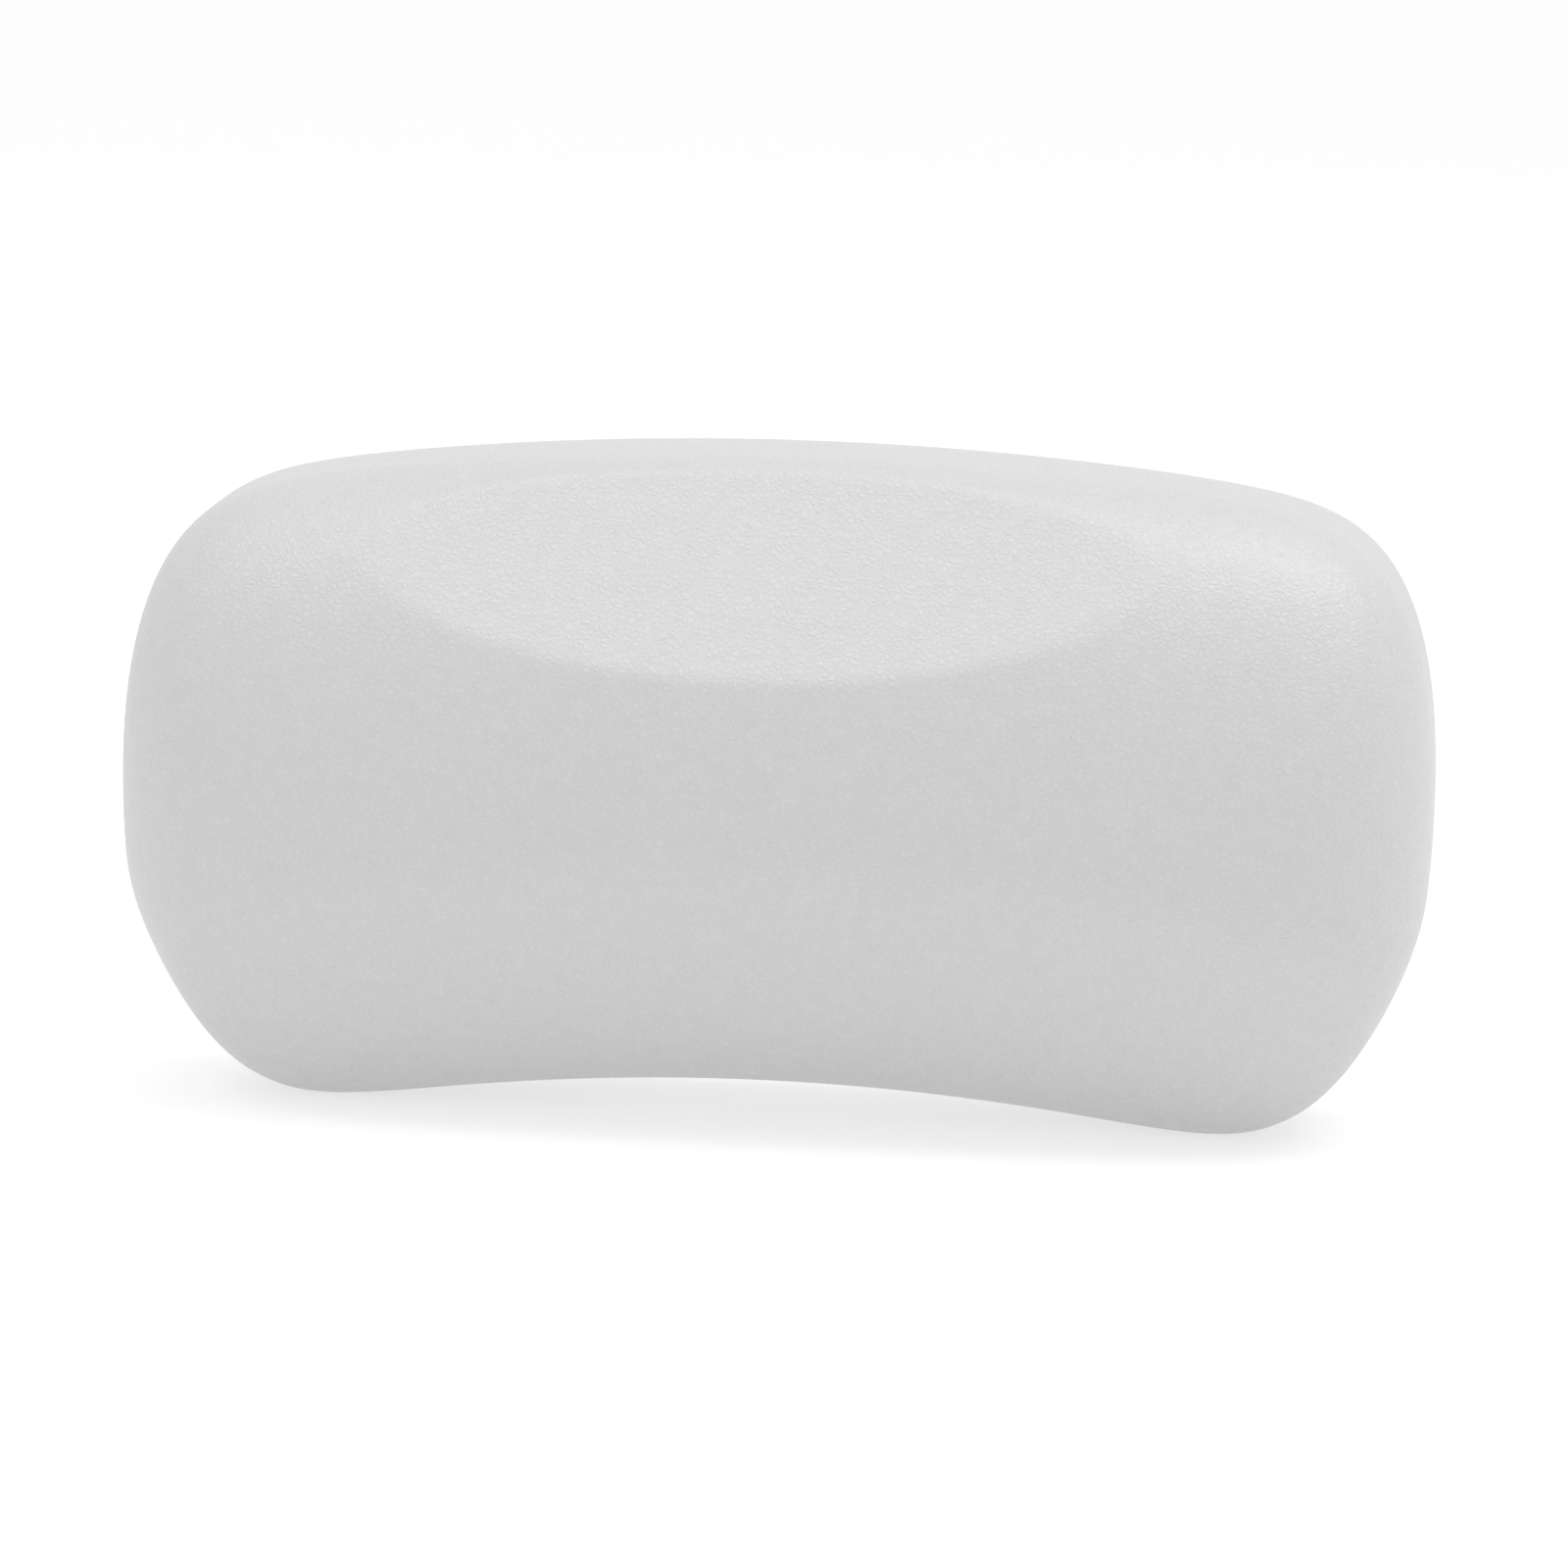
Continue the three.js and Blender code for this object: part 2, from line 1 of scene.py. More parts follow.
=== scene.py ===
"""Looks of a moulded bath pillow: a grained front skin, a smoother back skin with slotted openings, and two
clear suction cups on studs, on a pale studio floor. Metres, +Z up, the front towards -Y.
The pillow's surface is a formula, so every skin is made from it at its own inset and fineness.
"""

import math

import bmesh
import bpy
import numpy as np
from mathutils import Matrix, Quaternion, Vector


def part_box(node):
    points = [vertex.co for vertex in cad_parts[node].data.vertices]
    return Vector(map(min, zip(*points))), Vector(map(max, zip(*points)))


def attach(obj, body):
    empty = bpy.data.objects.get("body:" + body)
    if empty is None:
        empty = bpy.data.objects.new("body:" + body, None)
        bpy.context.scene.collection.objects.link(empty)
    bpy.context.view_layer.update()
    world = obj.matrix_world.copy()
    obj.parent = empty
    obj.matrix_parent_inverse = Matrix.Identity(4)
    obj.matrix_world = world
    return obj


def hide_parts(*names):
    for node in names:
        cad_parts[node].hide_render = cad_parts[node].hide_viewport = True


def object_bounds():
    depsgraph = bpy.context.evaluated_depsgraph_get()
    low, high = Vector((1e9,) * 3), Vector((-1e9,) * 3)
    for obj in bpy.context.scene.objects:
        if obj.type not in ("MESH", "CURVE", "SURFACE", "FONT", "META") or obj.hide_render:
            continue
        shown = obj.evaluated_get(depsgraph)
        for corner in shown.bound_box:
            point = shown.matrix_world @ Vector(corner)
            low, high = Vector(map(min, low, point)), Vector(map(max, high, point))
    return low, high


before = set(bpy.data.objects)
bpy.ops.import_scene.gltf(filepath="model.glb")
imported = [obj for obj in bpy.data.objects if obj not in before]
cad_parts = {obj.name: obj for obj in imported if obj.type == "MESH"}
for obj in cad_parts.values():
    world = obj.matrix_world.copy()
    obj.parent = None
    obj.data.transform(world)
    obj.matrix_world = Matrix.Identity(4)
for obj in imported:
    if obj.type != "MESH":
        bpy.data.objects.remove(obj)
CAD_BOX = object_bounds()
MM = 0.001
WHITE = (1, 1, 1, 1)

# The pillow's form: sizes, then the shares and powers that shape its ends, rim and faces.
# A reach keeps a bend from growing on outside the form.
HALF_LENGTH = 150 * MM
MID_HALF_HEIGHT = 72 * MM
TOP_DROP = 14.15 * MM
BOTTOM_DROP = 20.9 * MM
FRONT_DEPTH = 50.6 * MM
FRONT_DEPTH_LOSS = 9 * MM
BACK_DEPTH = 32 * MM
BACK_TRIM = 0.8 * MM
LEAN_SHARE = 0.074
END_LEVEL_SHARE = 0.535
END_DRAW_SHARE = 0.021
DRAW_REACH_SHARE = 2
END_POWER = {"above": 12.96, "below": 10.14}
FACE_POWER = {"above": 2.36, "below": 1.08}
RIM_POWER = {"front": 0.802, "back": 3.2}
DEPTH_POWER = {"front": 2.24, "back": 7}
MIDDLE_SHARPNESS = 3
MIDDLE_SOFT_SHARE = 0.06
VALUE_POWER = 1 / 2.2
VALUE_DEPTH = 45 * MM
REACH_SHARE = 1.6

# The hollow for the neck
HOLLOW_TILT = math.radians(38.6)
HOLLOW_REACH = 52.8 * MM
HOLLOW_RADIUS = 1730 * MM
HOLLOW_SOFTNESS = 0.7 * MM

# Skins, seam and running gap
SKIN = 2 * MM
CLEARANCE = 0.3 * MM
SEAM_ROUND = 0.9 * MM
BACK_SOFTNESS = 1.2 * MM

# Fineness of the form's surfaces
AROUND = 480
DOME_ROWS = 144
SIDE_ROWS = 12
ROUND_ROWS = 5
INNER_ROWS = 24
INNER_SIDE_ROWS = 3
BACK_ROWS = 56
CORNERS = 4
CORNER_CROWDING = 0.4
HALVINGS = 34
REACH_OF_RAYS = 1.7
PROBE = 0.02 * MM
FORM_SHARP_DEGREES = 40
TURNED_SHARP_DEGREES = 35

# Places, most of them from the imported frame. The cups' middles are at z 0, above the form's middle.
BACK_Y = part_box("back_cover")[1].y
SEAM_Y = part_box("front_cover")[1].y
BOARD_LOW, BOARD_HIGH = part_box("carrier_board")
CUP_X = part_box("stud_right")[0].lerp(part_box("stud_right")[1], 0.5).x
CUP_RISE = 25 * MM
BACK_FLAT = BACK_DEPTH - BACK_TRIM
MIDDLE = Vector((0, BACK_Y - BACK_FLAT, -CUP_RISE))
FLOOR_Z = CAD_BOX[0].z
SIDES = {"left": -CUP_X, "right": CUP_X}

# Keyholes and their openings in the back skin
TRAVEL = 20 * MM
OPENING_RADIUS = 8.4 * MM
LIP_WIDTH = 2.6 * MM
LIP_HEIGHT = 0.8 * MM
LIP_STEPS = 8
STADIUM_STEPS = 24
OVERRUN = 5 * MM

# Pockets in the foam
BOARD_CORNER = 16 * MM
FLANGE_CORNER = 4 * MM
CAP_RADIUS = 9.3 * MM
FOAM_AROUND = 120
FOAM_ROWS = 30
SCREWS_PER_CAP = 4

# Suction cups, measured from the wall: minus y is towards the pillow
CUP_RADIUS = 30 * MM
CUP_RIM_WIDTH = 2.5 * MM
CUP_LIP = 1.1 * MM
CUP_HOLLOW = 6.8 * MM
CUP_WEB = 1.7 * MM
BELL_SHOULDER_SHARE = 0.8
NECK_RADIUS = 8 * MM
NECK_FILLET = 1.5 * MM
THROAT_LIP = 2.2 * MM
RIDGE_SHARES = (0.78, 0.86, 0.94)
RIDGE_HEIGHT = 0.22 * MM
RIDGE_WIDTH = 0.5 * MM
RIDGE_STEPS = 6
TAB_WIDTH = 12 * MM
TAB_REACH = 9 * MM
TAB_THICKNESS = 1.4 * MM
TAB_TAPER_SHARE = 0.4
TAB_BAR_SHARES = (0.42, 0.6, 0.78)
TAB_BAR_WIDTH = 0.9 * MM
TAB_BAR_HEIGHT = 0.5 * MM
TAB_BAR_ROUND_SHARE = 0.98
TAB_ROUND = 0.35 * MM
TAB_ROUND_STEPS = 3

# Studs, and the fineness of what is turned
END_PLAY = 0.4 * MM
HEAD_RADIUS = 5.2 * MM
HEAD_THICKNESS = 2.4 * MM
STUD_NECK_RADIUS = 3.2 * MM
COLLAR_RADIUS = 6.5 * MM
COLLAR_THICKNESS = 1.6 * MM
SHAFT_RADIUS = 3.6 * MM
FOOT_RADIUS = 7 * MM
FOOT_THICKNESS = 2.5 * MM
EDGE_ROUND = 0.4 * MM
LATHE_STEPS = 96
CURVE_STEPS = 28
ARC_STEPS = 5

# Grain of the front skin
GRAIN = 1.5 * MM
GRAIN_DEPTH = 0.11 * MM
FINE_GRAIN_SHARE = 0.55
CREASE_SHARE = 0.36

# Finishes. Each has a base, a texture and two tones, and all but the foam have blotches and patches of shine.
# Sizes are those of lumps or cells, and a warp pushes a pattern about.
# A base's names with a capital letter are those of the shader's own sockets.
# What is moulded, the caps and the board, is polypropylene from a lightly spark-eroded mould.
NOISE_DETAIL = 2.0
MOULDED = {
    "texture": {"size": 0.5 * MM, "detail": 3.0, "depth": 0.05 * MM, "strength": 0.4},
    "blotches": {"size": 14 * MM},
    "shine": {"size": 4 * MM, "low": 0.44, "high": 0.58},
}
FINISHES = {
    "grained_skin": {
        "base": {"color": (0.56, 0.56, 0.56), "roughness": 0.4, "IOR": 1.5},
        "swell": {"size": 34 * MM, "depth": 0.5 * MM, "strength": 0.25},
        "warp": {"size": 2 * GRAIN, "shift": GRAIN},
        "texture": {"depth": GRAIN_DEPTH, "strength": 0.7},
        "fine_warp": {"size": GRAIN, "shift": GRAIN / 2},
        "fine_texture": {"depth": GRAIN_DEPTH / 2, "strength": 0.6},
        "blotches": {"size": 2.4 * GRAIN, "detail": 3.0},
        "blotch_step": {"start": 0.3, "end": 0.7},
        # In the grained skin the low tone is painted into the creases between cells as painted shade;
        # blotches vary the tone at random
        "blotch_share_over_crease_shade": 0.4,
        "tones": {"low": (0.543, 0.5425, 0.542), "high": (0.576, 0.5765, 0.577)},
        "shine": {"size": 6 * MM, "low": 0.36, "high": 0.44},
    },
    "smooth_skin": {
        "base": {"color": (0.56, 0.562, 0.565), "roughness": 0.52, "IOR": 1.48},
        "swell": {"size": 40 * MM, "depth": 0.6 * MM, "strength": 0.3},
        "warp": {"size": 1.2 * MM, "shift": 0.4 * MM},
        "cells": {"size": 0.6 * MM, "smoothness": 0.7},
        "texture": {"depth": 0.08 * MM, "strength": 0.35},
        "blotches": {"size": 30 * MM, "detail": 3.0},
        "tones": {"low": (0.542, 0.545, 0.549), "high": (0.575, 0.577, 0.58)},
        "shine": {"size": 5 * MM, "low": 0.47, "high": 0.58},
    },
    "open_foam": {
        "base": {"color": (0.86, 0.8, 0.66), "roughness": 0.9},
        "warp": {"size": 1.5 * MM, "shift": 0.6 * MM},
        "cells": {"size": 0.9 * MM, "smoothness": 0.2},
        "texture": {"depth": 0.5 * MM, "strength": 0.7},
        "tones": {"low": (0.88, 0.83, 0.7), "high": (0.7, 0.63, 0.48)},
    },
    "clear_pvc": {
        "base": {"color": (0.87, 0.92, 0.94), "roughness": 0.1, "IOR": 1.53, "Transmission_Weight": 0.85},
        "texture": {"size": 5 * MM, "detail": 1.0, "depth": 0.08 * MM, "strength": 0.25},
        "blotches": {"size": 12 * MM},
        "tones": {"low": (0.84, 0.9, 0.925), "high": (0.9, 0.94, 0.955)},
        "shine": {"size": 3 * MM, "low": 0.07, "high": 0.16},
    },
    "acetal": {
        "base": {"color": (0.85, 0.85, 0.83), "roughness": 0.3},
        "texture": {"size": 0.8 * MM, "depth": 0.02 * MM, "strength": 0.3},
        "blotches": {"size": 4 * MM},
        "tones": {"low": (0.83, 0.83, 0.81), "high": (0.87, 0.87, 0.855)},
        "shine": {"size": 2 * MM, "low": 0.26, "high": 0.36},
    },
    "cap_plastic": {
        **MOULDED,
        "base": {"color": (0.6, 0.615, 0.625), "roughness": 0.5},
        "tones": {"low": (0.55, 0.57, 0.58), "high": (0.6, 0.615, 0.625)},
    },
    "board_plastic": {
        **MOULDED,
        "base": {"color": (0.8, 0.8, 0.775), "roughness": 0.5},
        "tones": {"low": (0.74, 0.74, 0.71), "high": (0.8, 0.8, 0.775)},
    },
    "zinc_steel": {
        "base": {"color": (0.6, 0.61, 0.62), "roughness": 0.3, "Metallic": 1.0},
        "texture": {"size": 0.3 * MM, "depth": 0.01 * MM, "strength": 0.4},
        "blotches": {"size": 1.5 * MM},
        "tones": {"low": (0.55, 0.56, 0.575), "high": (0.66, 0.665, 0.67)},
        "shine": {"size": 0.7 * MM, "low": 0.24, "high": 0.4},
    },
}

# Camera: it looks at a place near the form's middle, where the picture is as wide as the frame's width
CAMERA_YAW = math.radians(8.055)
CAMERA_RISE = math.radians(9.73)
CAMERA_ROLL = math.radians(0.875)
CAMERA_DISTANCE = 1.2576
FRAME_WIDTH = 358.46 * MM
SENSOR_MM = 36
AIM = Vector((2.708 * MM, 0, -3.689 * MM))

# Stage: a floor that curves up into a round wall, and glows a little
STAGE_FLAT = 3.2
STAGE_CURVE = 1.3
STAGE_WALL = 1.2
STAGE_STEPS = 96
STAGE_ARC_STEPS = 16
STAGE_COLOR = (0.5, 0.5, 0.5)
STAGE_ROUGHNESS = 0.9
STAGE_GLOW = 0.535

# Soft lights: the degrees at which each stands around the pillow, its size in metres and its power in watts
WORLD_STRENGTH = 0.69
LIGHT_DISTANCE = 2
LIGHTS = {
    "overhead": {"yaw": 0, "rise": 85, "size": 1.1, "power": 7.7},
    "right": {"yaw": 95, "rise": 62, "size": 1.1, "power": 13.7},
    "left": {"yaw": -65, "rise": 60, "size": 0.5, "power": 4.8},
}


# The form
def soft_size(share):
    """A share's size, rounded off near 0 and still 1 where the share is 1."""
    full = math.hypot(1, MIDDLE_SOFT_SHARE) - MIDDLE_SOFT_SHARE
    return (np.hypot(share, MIDDLE_SOFT_SHARE) - MIDDLE_SOFT_SHARE) / full


def end_draw(up):
    """The share of the length by which an end is drawn in at one level. It is none at the form's middle."""
    away = np.minimum((up - END_LEVEL_SHARE) ** 2, DRAW_REACH_SHARE)
    return END_DRAW_SHARE * (away - END_LEVEL_SHARE**2)


def body_value(x, y, z):
    """Roughly how far points lie outside the rounded block, which has no hollow yet."""
    across = np.abs(x) / HALF_LENGTH
    spread = np.minimum(across**2, REACH_SHARE)
    top = MID_HALF_HEIGHT - TOP_DROP * spread
    bottom = -MID_HALF_HEIGHT - BOTTOM_DROP * spread
    up = (z - LEAN_SHARE * y - (top + bottom) / 2) / ((top - bottom) / 2)
    below = 0.5 - 0.5 * np.tanh(MIDDLE_SHARPNESS * up)
    end_power = END_POWER["above"] + (END_POWER["below"] - END_POWER["above"]) * below
    face_power = FACE_POWER["above"] + (FACE_POWER["below"] - FACE_POWER["above"]) * below
    outline = (across / (1 - end_draw(up))) ** end_power + soft_size(up) ** face_power
    front_depth = FRONT_DEPTH - FRONT_DEPTH_LOSS * spread
    in_front = outline ** RIM_POWER["front"] + (np.abs(y) / front_depth) ** DEPTH_POWER["front"]
    behind = outline ** RIM_POWER["back"] + (np.abs(y) / BACK_DEPTH) ** DEPTH_POWER["back"]
    return (np.where(y < 0, in_front, behind) ** VALUE_POWER - 1) * VALUE_DEPTH


def hollow_value(x, y, z):
    """How far points lie beyond the hollow's sheet, which leans back and bends along the pillow."""
    out = -y * math.cos(HOLLOW_TILT) + z * math.sin(HOLLOW_TILT)
    return out - HOLLOW_REACH - x**2 / (2 * HOLLOW_RADIUS)


def soft_larger(a, b, softness):
    """The larger of two values, rounded where they cross."""
    mix = np.clip(0.5 + 0.5 * (a - b) / softness, 0, 1)
    return b * (1 - mix) + a * mix + softness * mix * (1 - mix)


def form_value(p):
    """Below zero inside the pillow and above zero outside it, for points measured from the form's middle."""
    x, y, z = p[..., 0], p[..., 1], p[..., 2]
    shaped = soft_larger(body_value(x, y, z), hollow_value(x, y, z), HOLLOW_SOFTNESS)
    return soft_larger(shaped, y - BACK_FLAT, BACK_SOFTNESS)


def form_slope(p):
    steps = np.eye(3) * PROBE
    slope = np.stack([form_value(p + s) - form_value(p - s) for s in steps], axis=-1)
    return slope / np.linalg.norm(slope, axis=-1, keepdims=True)


def form_ring(start_y, swing, depth, around):
    """Points where rays from the form's axis leave it, crowded towards its corners.
    A swing of 0 looks forwards and a quarter turn looks sideways.
    """
    turn = np.linspace(0, 2 * math.pi, around, endpoint=False)
    turn = turn + CORNER_CROWDING / CORNERS * np.sin(CORNERS * turn)
    across = HALF_LENGTH * math.sin(swing) * np.cos(turn)
    up = MID_HALF_HEIGHT * math.sin(swing) * np.sin(turn)
    ray = np.stack([across, np.full(around, -depth * math.cos(swing)), up], axis=-1)
    start = np.array([0, start_y, 0])
    near = np.zeros(around)
    far = np.full(around, REACH_OF_RAYS)
    for _ in range(HALVINGS):
        half = (near + far) / 2
        inside = form_value(start + ray * half[:, None]) < 0
        near = np.where(inside, half, near)
        far = np.where(inside, far, half)
    return start + ray * near[:, None]


def inset_ring(ring, inset):
    return ring - form_slope(ring) * inset


def side_ring(y, inset):
    """A ring at one depth, moved inwards without leaving its plane."""
    ring = form_ring(y, math.pi / 2, FRONT_DEPTH, AROUND)
    slope = form_slope(ring)
    slope[:, 1] = 0
    return ring - slope / np.linalg.norm(slope, axis=-1, keepdims=True) * inset


def dome_rings(inset, count, around):
    """Rings of the front, from beside its pole to the form's widest outline."""
    swings = np.linspace(0, math.pi / 2, count + 1)[1:]
    return [inset_ring(form_ring(0, s, FRONT_DEPTH, around), inset) for s in swings]


def back_rings(start_y, inset, count, around):
    """Rings of the back, from one depth to beside the middle of the back face."""
    swings = np.linspace(math.pi / 2, math.pi, count + 1)[:-1]
    return [inset_ring(form_ring(start_y, s, BACK_DEPTH - start_y, around), inset) for s in swings]


def seam_rings(bend, towards):
    """Rings that round a skin's edge off, from one depth on.
    They go backwards where towards is 1 and forwards where it is -1.
    """
    angles = [math.pi / 2 * row / ROUND_ROWS for row in range(1, ROUND_ROWS + 1)]
    round_y = [bend + towards * SEAM_ROUND * math.sin(angle) for angle in angles]
    return [side_ring(y, SEAM_ROUND * (1 - math.cos(angle))) for y, angle in zip(round_y, angles)]


def front_pole(inset):
    return form_ring(0, 0, FRONT_DEPTH, 1)[0] + np.array([0, inset, 0])


def back_pole(inset):
    return np.array([0, BACK_FLAT - inset, 0])


# Meshes
def new_object(name, data):
    made = bpy.data.objects.new(name, data)
    bpy.context.scene.collection.objects.link(made)
    return made


def add_object(name, mesh, material):
    mesh.materials.append(material)
    return new_object(name, mesh)


def mesh_of(name, points, faces):
    mesh = bpy.data.meshes.new(name)
    mesh.from_pydata([tuple(p) for p in points], [], faces)
    bm = bmesh.new()
    bm.from_mesh(mesh)
    bmesh.ops.recalc_face_normals(bm, faces=bm.faces)
    bm.to_mesh(mesh)
    bm.free()
    mesh.shade_smooth()
    return mesh


def closed_rings(rings, first_pole, last_pole):
    """Points and faces of a surface of rings that a pole closes at each end."""
    points = [first_pole]
    for ring in rings:
        points.extend(ring)
    points.append(last_pole)
    last = len(points) - 1
    around = len(rings[0])

    def at(ring, step):
        return 1 + ring * around + step % around

    faces = []
    for step in range(around):
        faces.append((0, at(0, step), at(0, step + 1)))
        for ring in range(len(rings) - 1):
            faces.append((at(ring, step), at(ring + 1, step), at(ring + 1, step + 1), at(ring, step + 1)))
        faces.append((last, at(len(rings) - 1, step + 1), at(len(rings) - 1, step)))
    return points, faces


def in_frame(points):
    """Points measured from the form's middle, moved to their places in the frame."""
    return np.asarray(points) + np.array(MIDDLE)


def form_mesh(name, rings, first_pole, last_pole):
    points, faces = closed_rings(rings, first_pole, last_pole)
    return mesh_of(name, in_frame(points), faces)


def looped_rings(rings):
    """Points and faces of rings joined end to end, the last one to the first."""
    points = [p for ring in rings for p in ring]
    around = len(rings[0])
    count = len(rings)
    faces = []
    for ring in range(count):
        here = ring * around
        ahead = (ring + 1) % count * around
        for step in range(around):
            aside = (step + 1) % around
            faces.append((here + step, ahead + step, ahead + aside, here + aside))
    return points, faces


def lathe(name, profile):
    """Turns points of radius and y, from the axis back to the axis, round the y axis."""
    turn = np.linspace(0, 2 * math.pi, LATHE_STEPS, endpoint=False)
    depth = np.ones(LATHE_STEPS)
    rings = [np.stack([r * np.cos(turn), y * depth, r * np.sin(turn)], axis=-1) for r, y in profile[1:-1]]
    points, faces = closed_rings(rings, (0, profile[0][1], 0), (0, profile[-1][1], 0))
    return mesh_of(name, points, faces)


def rounded(profile, radius):
    """A profile with its corners rounded, apart from its two ends on the axis."""
    made = [profile[0]]
    for before, corner, after in zip(profile, profile[1:], profile[2:]):
        here, back, on = (Vector(p) for p in (corner, before, after))
        back = back - here
        on = on - here
        cut = min(radius, back.length / 2, on.length / 2)
        start = here + back.normalized() * cut
        end = here + on.normalized() * cut
        for step in range(ARC_STEPS + 1):
            share = step / ARC_STEPS
            made.append(tuple(start.lerp(here, share).lerp(here.lerp(end, share), share)))
    made.append(profile[-1])
    return made


def curve(start, bend, end):
    """Points of a curve from start to end that leaves and arrives towards bend."""
    start, bend, end = (Vector(p) for p in (start, bend, end))
    shares = [step / CURVE_STEPS for step in range(CURVE_STEPS + 1)]
    return [tuple(start.lerp(bend, s).lerp(bend.lerp(end, s), s)) for s in shares]


def stadium(radius, length, x):
    """An upright outline with round ends, from the cup's level down by its length."""
    points = []
    for middle_z, first in ((0, 0), (-length, math.pi)):
        for step in range(STADIUM_STEPS + 1):
            angle = first + math.pi * step / STADIUM_STEPS
            points.append((x + radius * math.cos(angle), middle_z + radius * math.sin(angle)))
    return points


def prism(name, outline, rear, front):
    """A closed prism of an outline in x and z between two depths."""
    count = len(outline)
    points = [(x, rear, z) for x, z in outline] + [(x, front, z) for x, z in outline]
    faces = [(i, (i + 1) % count, count + (i + 1) % count, count + i) for i in range(count)]
    faces.append(tuple(range(count)))
    faces.append(tuple(range(2 * count - 1, count - 1, -1)))
    return mesh_of(name, points, faces)


def rounded_rectangle(low, high, corner):
    """Outline in x and z between two points, with round corners."""
    steps = STADIUM_STEPS // 2
    points = []
    centres = (
        (high.x - corner, high.z - corner),
        (low.x + corner, high.z - corner),
        (low.x + corner, low.z + corner),
        (high.x - corner, low.z + corner),
    )
    for quarter, (x, z) in enumerate(centres):
        for step in range(steps + 1):
            angle = math.pi / 2 * (quarter + step / steps)
            points.append((x + corner * math.cos(angle), z + corner * math.sin(angle)))
    return points


def apply_modifiers(made):
    graph = bpy.context.evaluated_depsgraph_get()
    mesh = bpy.data.meshes.new_from_object(made.evaluated_get(graph))
    made.modifiers.clear()
    made.data = mesh


def with_boolean(made, mesh, operation):
    """Joins or cuts an object by a closed mesh, and applies the result."""
    tool = new_object("tool", mesh)
    modifier = made.modifiers.new("boolean", "BOOLEAN")
    modifier.operation = operation
    modifier.solver = "EXACT"
    modifier.object = tool
    apply_modifiers(made)
    bpy.data.objects.remove(tool)


def sharpen(made, degrees):
    """Smooth shading, broken where faces meet at more than an angle."""
    made.data.shade_smooth()
    made.data.set_sharp_from_angle(angle=math.radians(degrees))


def fit(made, body, slot, *nodes):
    """Puts a piece on its body, in place of the CAD nodes that it stands for."""
    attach(made, body)
    if nodes:
        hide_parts(*nodes)


# Skins and foam
def front_skin(material):
    """The grained skin: its outside from the front backwards, its edge at the seam and then its inside."""
    seam = SEAM_Y - MIDDLE.y
    bend = seam - SEAM_ROUND
    rings = dome_rings(0, DOME_ROWS, AROUND)
    rings += [side_ring(y, 0) for y in np.linspace(0, bend, SIDE_ROWS + 1)[1:]]
    rings += seam_rings(bend, 1)
    rings += [side_ring(y, SKIN) for y in np.linspace(seam, 0, INNER_SIDE_ROWS + 1)[:-1]]
    rings += dome_rings(SKIN, INNER_ROWS, AROUND)[::-1]
    mesh = form_mesh("front_skin", rings, front_pole(0), front_pole(SKIN))
    made = add_object("front_skin", mesh, material)
    fit(made, "pillow", "grained_skin", "front_cover")


def back_skin(material):
    """The smooth skin: its inside, its edge at the seam, its outside and then its two openings."""
    seam = SEAM_Y - MIDDLE.y + CLEARANCE
    bend = seam + SEAM_ROUND
    rings = back_rings(seam, SKIN, INNER_ROWS, AROUND)[::-1]
    rings.append(side_ring(seam, SKIN))
    rings += seam_rings(bend, -1)[::-1]
    rings += back_rings(bend, 0, BACK_ROWS, AROUND)
    mesh = form_mesh("back_skin", rings, back_pole(SKIN), back_pole(0))
    made = add_object("back_skin", mesh, material)
    for x in SIDES.values():
        opening = stadium(OPENING_RADIUS, TRAVEL, x)
        with_boolean(made, prism("opening", opening, BACK_Y + OVERRUN, BACK_Y - OVERRUN), "DIFFERENCE")
    sharpen(made, FORM_SHARP_DEGREES)
    fit(made, "pillow", "smooth_skin", "back_cover")


def opening_lip(side, x, material):
    """A raised round edge about an opening of the back skin."""
    rings = []
    for step in range(LIP_STEPS + 1):
        angle = math.pi * step / LIP_STEPS
        radius = OPENING_RADIUS + LIP_WIDTH / 2 - LIP_WIDTH / 2 * math.cos(angle)
        y = BACK_Y + LIP_HEIGHT * math.sin(angle)
        rings.append([(px, y, pz) for px, pz in stadium(radius, TRAVEL, x)])
    points, faces = looped_rings(rings)
    made = add_object(f"opening_lip_{side}", mesh_of("opening_lip", points, faces), material)
    fit(made, "pillow", "smooth_skin")


def foam_core(material):
    """The foam block, with pockets for the board, for the caps and for the heads of their screws."""
    inset = SKIN + CLEARANCE
    rings = dome_rings(inset, FOAM_ROWS, FOAM_AROUND) + back_rings(0, inset, FOAM_ROWS, FOAM_AROUND)[1:]
    mesh = form_mesh("foam_block", rings, front_pole(inset), back_pole(inset))
    made = add_object("foam_block", mesh, material)
    grow = Vector((CLEARANCE, 0, CLEARANCE))
    board = rounded_rectangle(BOARD_LOW - grow, BOARD_HIGH + grow, BOARD_CORNER)
    with_boolean(made, prism("pocket", board, BACK_Y, BOARD_LOW.y - CLEARANCE), "DIFFERENCE")
    for side, x in SIDES.items():
        low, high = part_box(f"pocket_cap_{side}")
        flange = rounded_rectangle(low - grow, high + grow, FLANGE_CORNER)
        flange_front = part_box(f"cap_screw_{side}_1")[0].y
        with_boolean(made, prism("pocket", flange, BOARD_LOW.y, flange_front - CLEARANCE), "DIFFERENCE")
        dome = stadium(CAP_RADIUS + CLEARANCE, TRAVEL, x)
        with_boolean(made, prism("pocket", dome, BOARD_LOW.y, low.y - CLEARANCE), "DIFFERENCE")
    sharpen(made, FORM_SHARP_DEGREES)
    fit(made, "pillow", "foam", "foam_core")


def dress(node, material):
    """Gives a CAD node its material and leaves its shape as it is."""
    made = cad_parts[node]
    made.data.materials.clear()
    made.data.materials.append(material)


